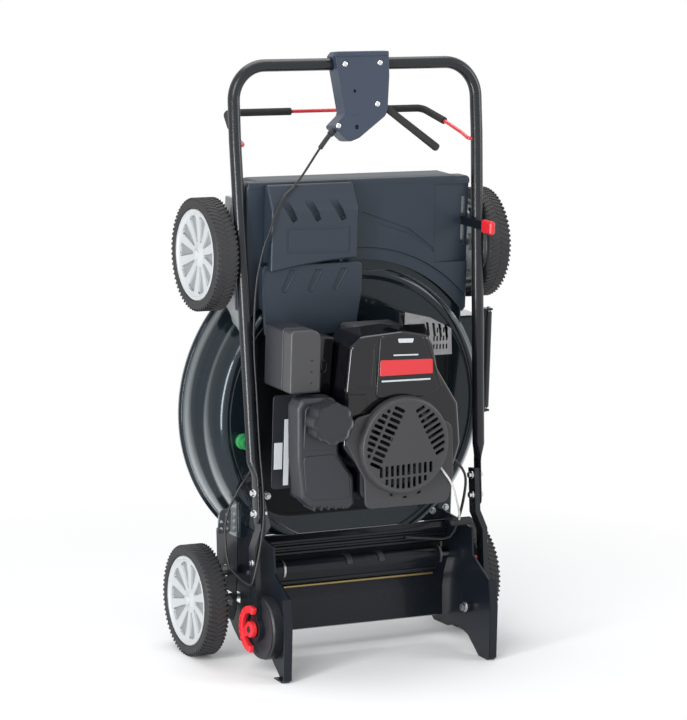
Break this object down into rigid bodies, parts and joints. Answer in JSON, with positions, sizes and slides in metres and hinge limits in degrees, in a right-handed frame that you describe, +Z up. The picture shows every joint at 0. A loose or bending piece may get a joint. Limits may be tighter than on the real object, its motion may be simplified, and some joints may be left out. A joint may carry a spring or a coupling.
{
  "type": "self-propelled lawn mower",
  "caption": "Walk-behind petrol lawn mower with front wheel drive, stood on its rear wheels and bracket feet with the handle folded up over the engine.",
  "frame": {"origin": "centre of the bounding box's base, on the ground that the machine is stored on", "axes": "+X towards the mower's right, -Y towards the engine side that faces the viewer, +Z up, which is forward when mowing"},
  "size_m": [0.604, 0.39, 1.0998],
  "materials": {
    "tyre": "moulded rubber",
    "rim": "silver moulded",
    "steel": "zinc plated",
    "guard": "bright plated",
    "deck": "gloss metallic",
    "black_steel": "gloss black",
    "black_plastic": "matte black",
    "shroud": "gloss black",
    "grey_plastic": "satin dark grey",
    "casting": "cast",
    "iron": "cast",
    "red_plastic": "red",
    "red_steel": "red",
    "green_plastic": "green",
    "rubber": "soft black",
    "rope": "white cord"
  },
  "bodies": {
    "chassis": {"deck_shell": "deck", "front_cover": "black_plastic", "belt_cover": "grey_plastic", "handle_bracket_left": "black_steel", "handle_bracket_right": "black_steel", "handle_knuckle_left": "black_plastic", "handle_knuckle_right": "black_plastic", "door_hinge_rod": "steel", "rear_baffle": "black_steel", "deflector_rod": "steel", "engine_block": "casting", "cylinder_head": "casting", "blower_shroud": "shroud", "recoil_cover": "grey_plastic", "drive_belt": "rubber", "gearbox": "casting", "fuel_tank": "black_plastic", "air_filter": "grey_plastic", "carburettor": "casting", "muffler": "iron", "muffler_guard": "guard", "starter_rope": "rope", "starter_grip": "rubber", "stop_cable": "rope", "deck_wash_port": "green_plastic", "door_spring": "steel", "drive_cable_loop": "rubber"},
    "rear_axle": {"rear_axle": "steel", "rear_height_knob": "red_plastic"},
    "front_axle": {"front_axle": "steel", "front_height_knob": "red_plastic"},
    "wheel_rear_left": {"tyre_rear_left": "tyre", "rim_rear_left": "rim"},
    "wheel_rear_right": {"tyre_rear_right": "tyre", "rim_rear_right": "rim"},
    "wheel_front_left": {"tyre_front_left": "tyre", "rim_front_left": "rim"},
    "wheel_front_right": {"tyre_front_right": "tyre", "rim_front_right": "rim"},
    "crank": {"crankshaft": "steel", "flywheel": "iron", "engine_pulley": "steel", "blade": "steel"},
    "gearbox_pulley": {"gearbox_pulley": "steel"},
    "drive_shaft": {"drive_shaft": "steel"},
    "rear_door": {"rear_door": "black_steel"},
    "side_deflector": {"side_deflector": "black_plastic"},
    "fuel_cap": {"fuel_cap": "grey_plastic"},
    "dipstick": {"dipstick": "red_plastic"},
    "lock_lever_left": {"lock_lever_left": "red_plastic"},
    "lock_lever_right": {"lock_lever_right": "red_plastic"},
    "handle": {"upper_handle": "black_steel", "handle_bar_left": "black_steel", "handle_bar_right": "black_steel", "control_bracket": "grey_plastic", "drive_cable": "rubber"},
    "bail": {"bail": "red_steel", "bail_grip_left": "rubber", "bail_grip_right": "rubber"},
    "drive_lever": {"drive_lever": "black_plastic"}
  },
  "joints": [
    {"name": "rear_height", "type": "hinge", "parent": "chassis", "child": "rear_axle", "pos_m": [0, 0.0934, 0.1516], "axis": [1, 0, 0], "range_deg": [-25, 25]},
    {"name": "front_height", "type": "hinge", "parent": "chassis", "child": "front_axle", "pos_m": [0, 0.0934, 0.7866], "axis": [1, 0, 0], "range_deg": [-25, 25]},
    {"name": "spin_rear_left", "type": "hinge", "parent": "rear_axle", "child": "wheel_rear_left", "pos_m": [-0.28, 0.0934, 0.1016], "axis": [1, 0, 0], "continuous": true},
    {"name": "spin_rear_right", "type": "hinge", "parent": "rear_axle", "child": "wheel_rear_right", "pos_m": [0.28, 0.0934, 0.1016], "axis": [1, 0, 0], "continuous": true},
    {"name": "spin_front_left", "type": "hinge", "parent": "front_axle", "child": "wheel_front_left", "pos_m": [-0.2755, 0.0934, 0.7366], "axis": [1, 0, 0], "continuous": true},
    {"name": "spin_front_right", "type": "hinge", "parent": "front_axle", "child": "wheel_front_right", "pos_m": [0.2755, 0.0934, 0.7366], "axis": [1, 0, 0], "continuous": true},
    {"name": "drive_spin", "type": "hinge", "parent": "chassis", "child": "drive_shaft", "pos_m": [0, 0.0934, 0.7866], "axis": [1, 0, 0], "continuous": true},
    {"name": "crank_spin", "type": "hinge", "parent": "chassis", "child": "crank", "pos_m": [0, 0.095, 0.4216], "axis": [0, -1, 0], "continuous": true},
    {"name": "gearbox_input_spin", "type": "hinge", "parent": "chassis", "child": "gearbox_pulley", "pos_m": [-0.105, 0.095, 0.7866], "axis": [0, -1, 0], "continuous": true},
    {"name": "door_swing", "type": "hinge", "parent": "chassis", "child": "rear_door", "pos_m": [0, 0.019, 0.1636], "axis": [-1, 0, 0], "range_deg": [0, 75], "stiffness_Nm_per_rad": 0.5, "springref_deg": -28.65},
    {"name": "deflector_swing", "type": "hinge", "parent": "chassis", "child": "side_deflector", "pos_m": [0.289, 0.055, 0.5216], "axis": [0, 0, -1], "range_deg": [0, 80], "stiffness_Nm_per_rad": 0.1, "springref_deg": -28.65},
    {"name": "fuel_cap_turn", "type": "hinge", "parent": "chassis", "child": "fuel_cap", "pos_m": [-0.152, -0.165, 0.474], "axis": [0, -1, 0], "range_deg": [0, 90]},
    {"name": "dipstick_turn", "type": "hinge", "parent": "chassis", "child": "dipstick", "pos_m": [0.141, -0.055, 0.4316], "axis": [0, -1, 0], "range_deg": [0, 90]},
    {"name": "lock_left_turn", "type": "hinge", "parent": "chassis", "child": "lock_lever_left", "pos_m": [0, -0.0666, 0.083], "axis": [1, 0, 0], "range_deg": [0, 60]},
    {"name": "lock_right_turn", "type": "hinge", "parent": "chassis", "child": "lock_lever_right", "pos_m": [0, -0.0666, 0.083], "axis": [1, 0, 0], "range_deg": [0, 60]},
    {"name": "handle_swing", "type": "hinge", "parent": "chassis", "child": "handle", "pos_m": [0, -0.0666, 0.083], "axis": [1, 0, 0], "range_deg": [0, 140]},
    {"name": "bail_swing", "type": "hinge", "parent": "handle", "child": "bail", "pos_m": [0, 0.04268, 0.93603], "axis": [1, 0, 0], "range_deg": [0, 57], "stiffness_Nm_per_rad": 0.4, "springref_deg": -28.65},
    {"name": "drive_lever_turn", "type": "hinge", "parent": "handle", "child": "drive_lever", "pos_m": [0.043, 0.04338, 1.00449], "axis": [0, -0.9919, 0.1271], "range_deg": [0, 30], "stiffness_Nm_per_rad": 0.3, "springref_deg": -17.19}
  ],
  "couplings": [
    {"joint": "spin_front_left", "follows": "drive_spin", "ratio": 0.21429},
    {"joint": "spin_front_right", "follows": "drive_spin", "ratio": 0.21429},
    {"joint": "gearbox_input_spin", "follows": "crank_spin", "ratio": 0.66667}
  ]
}
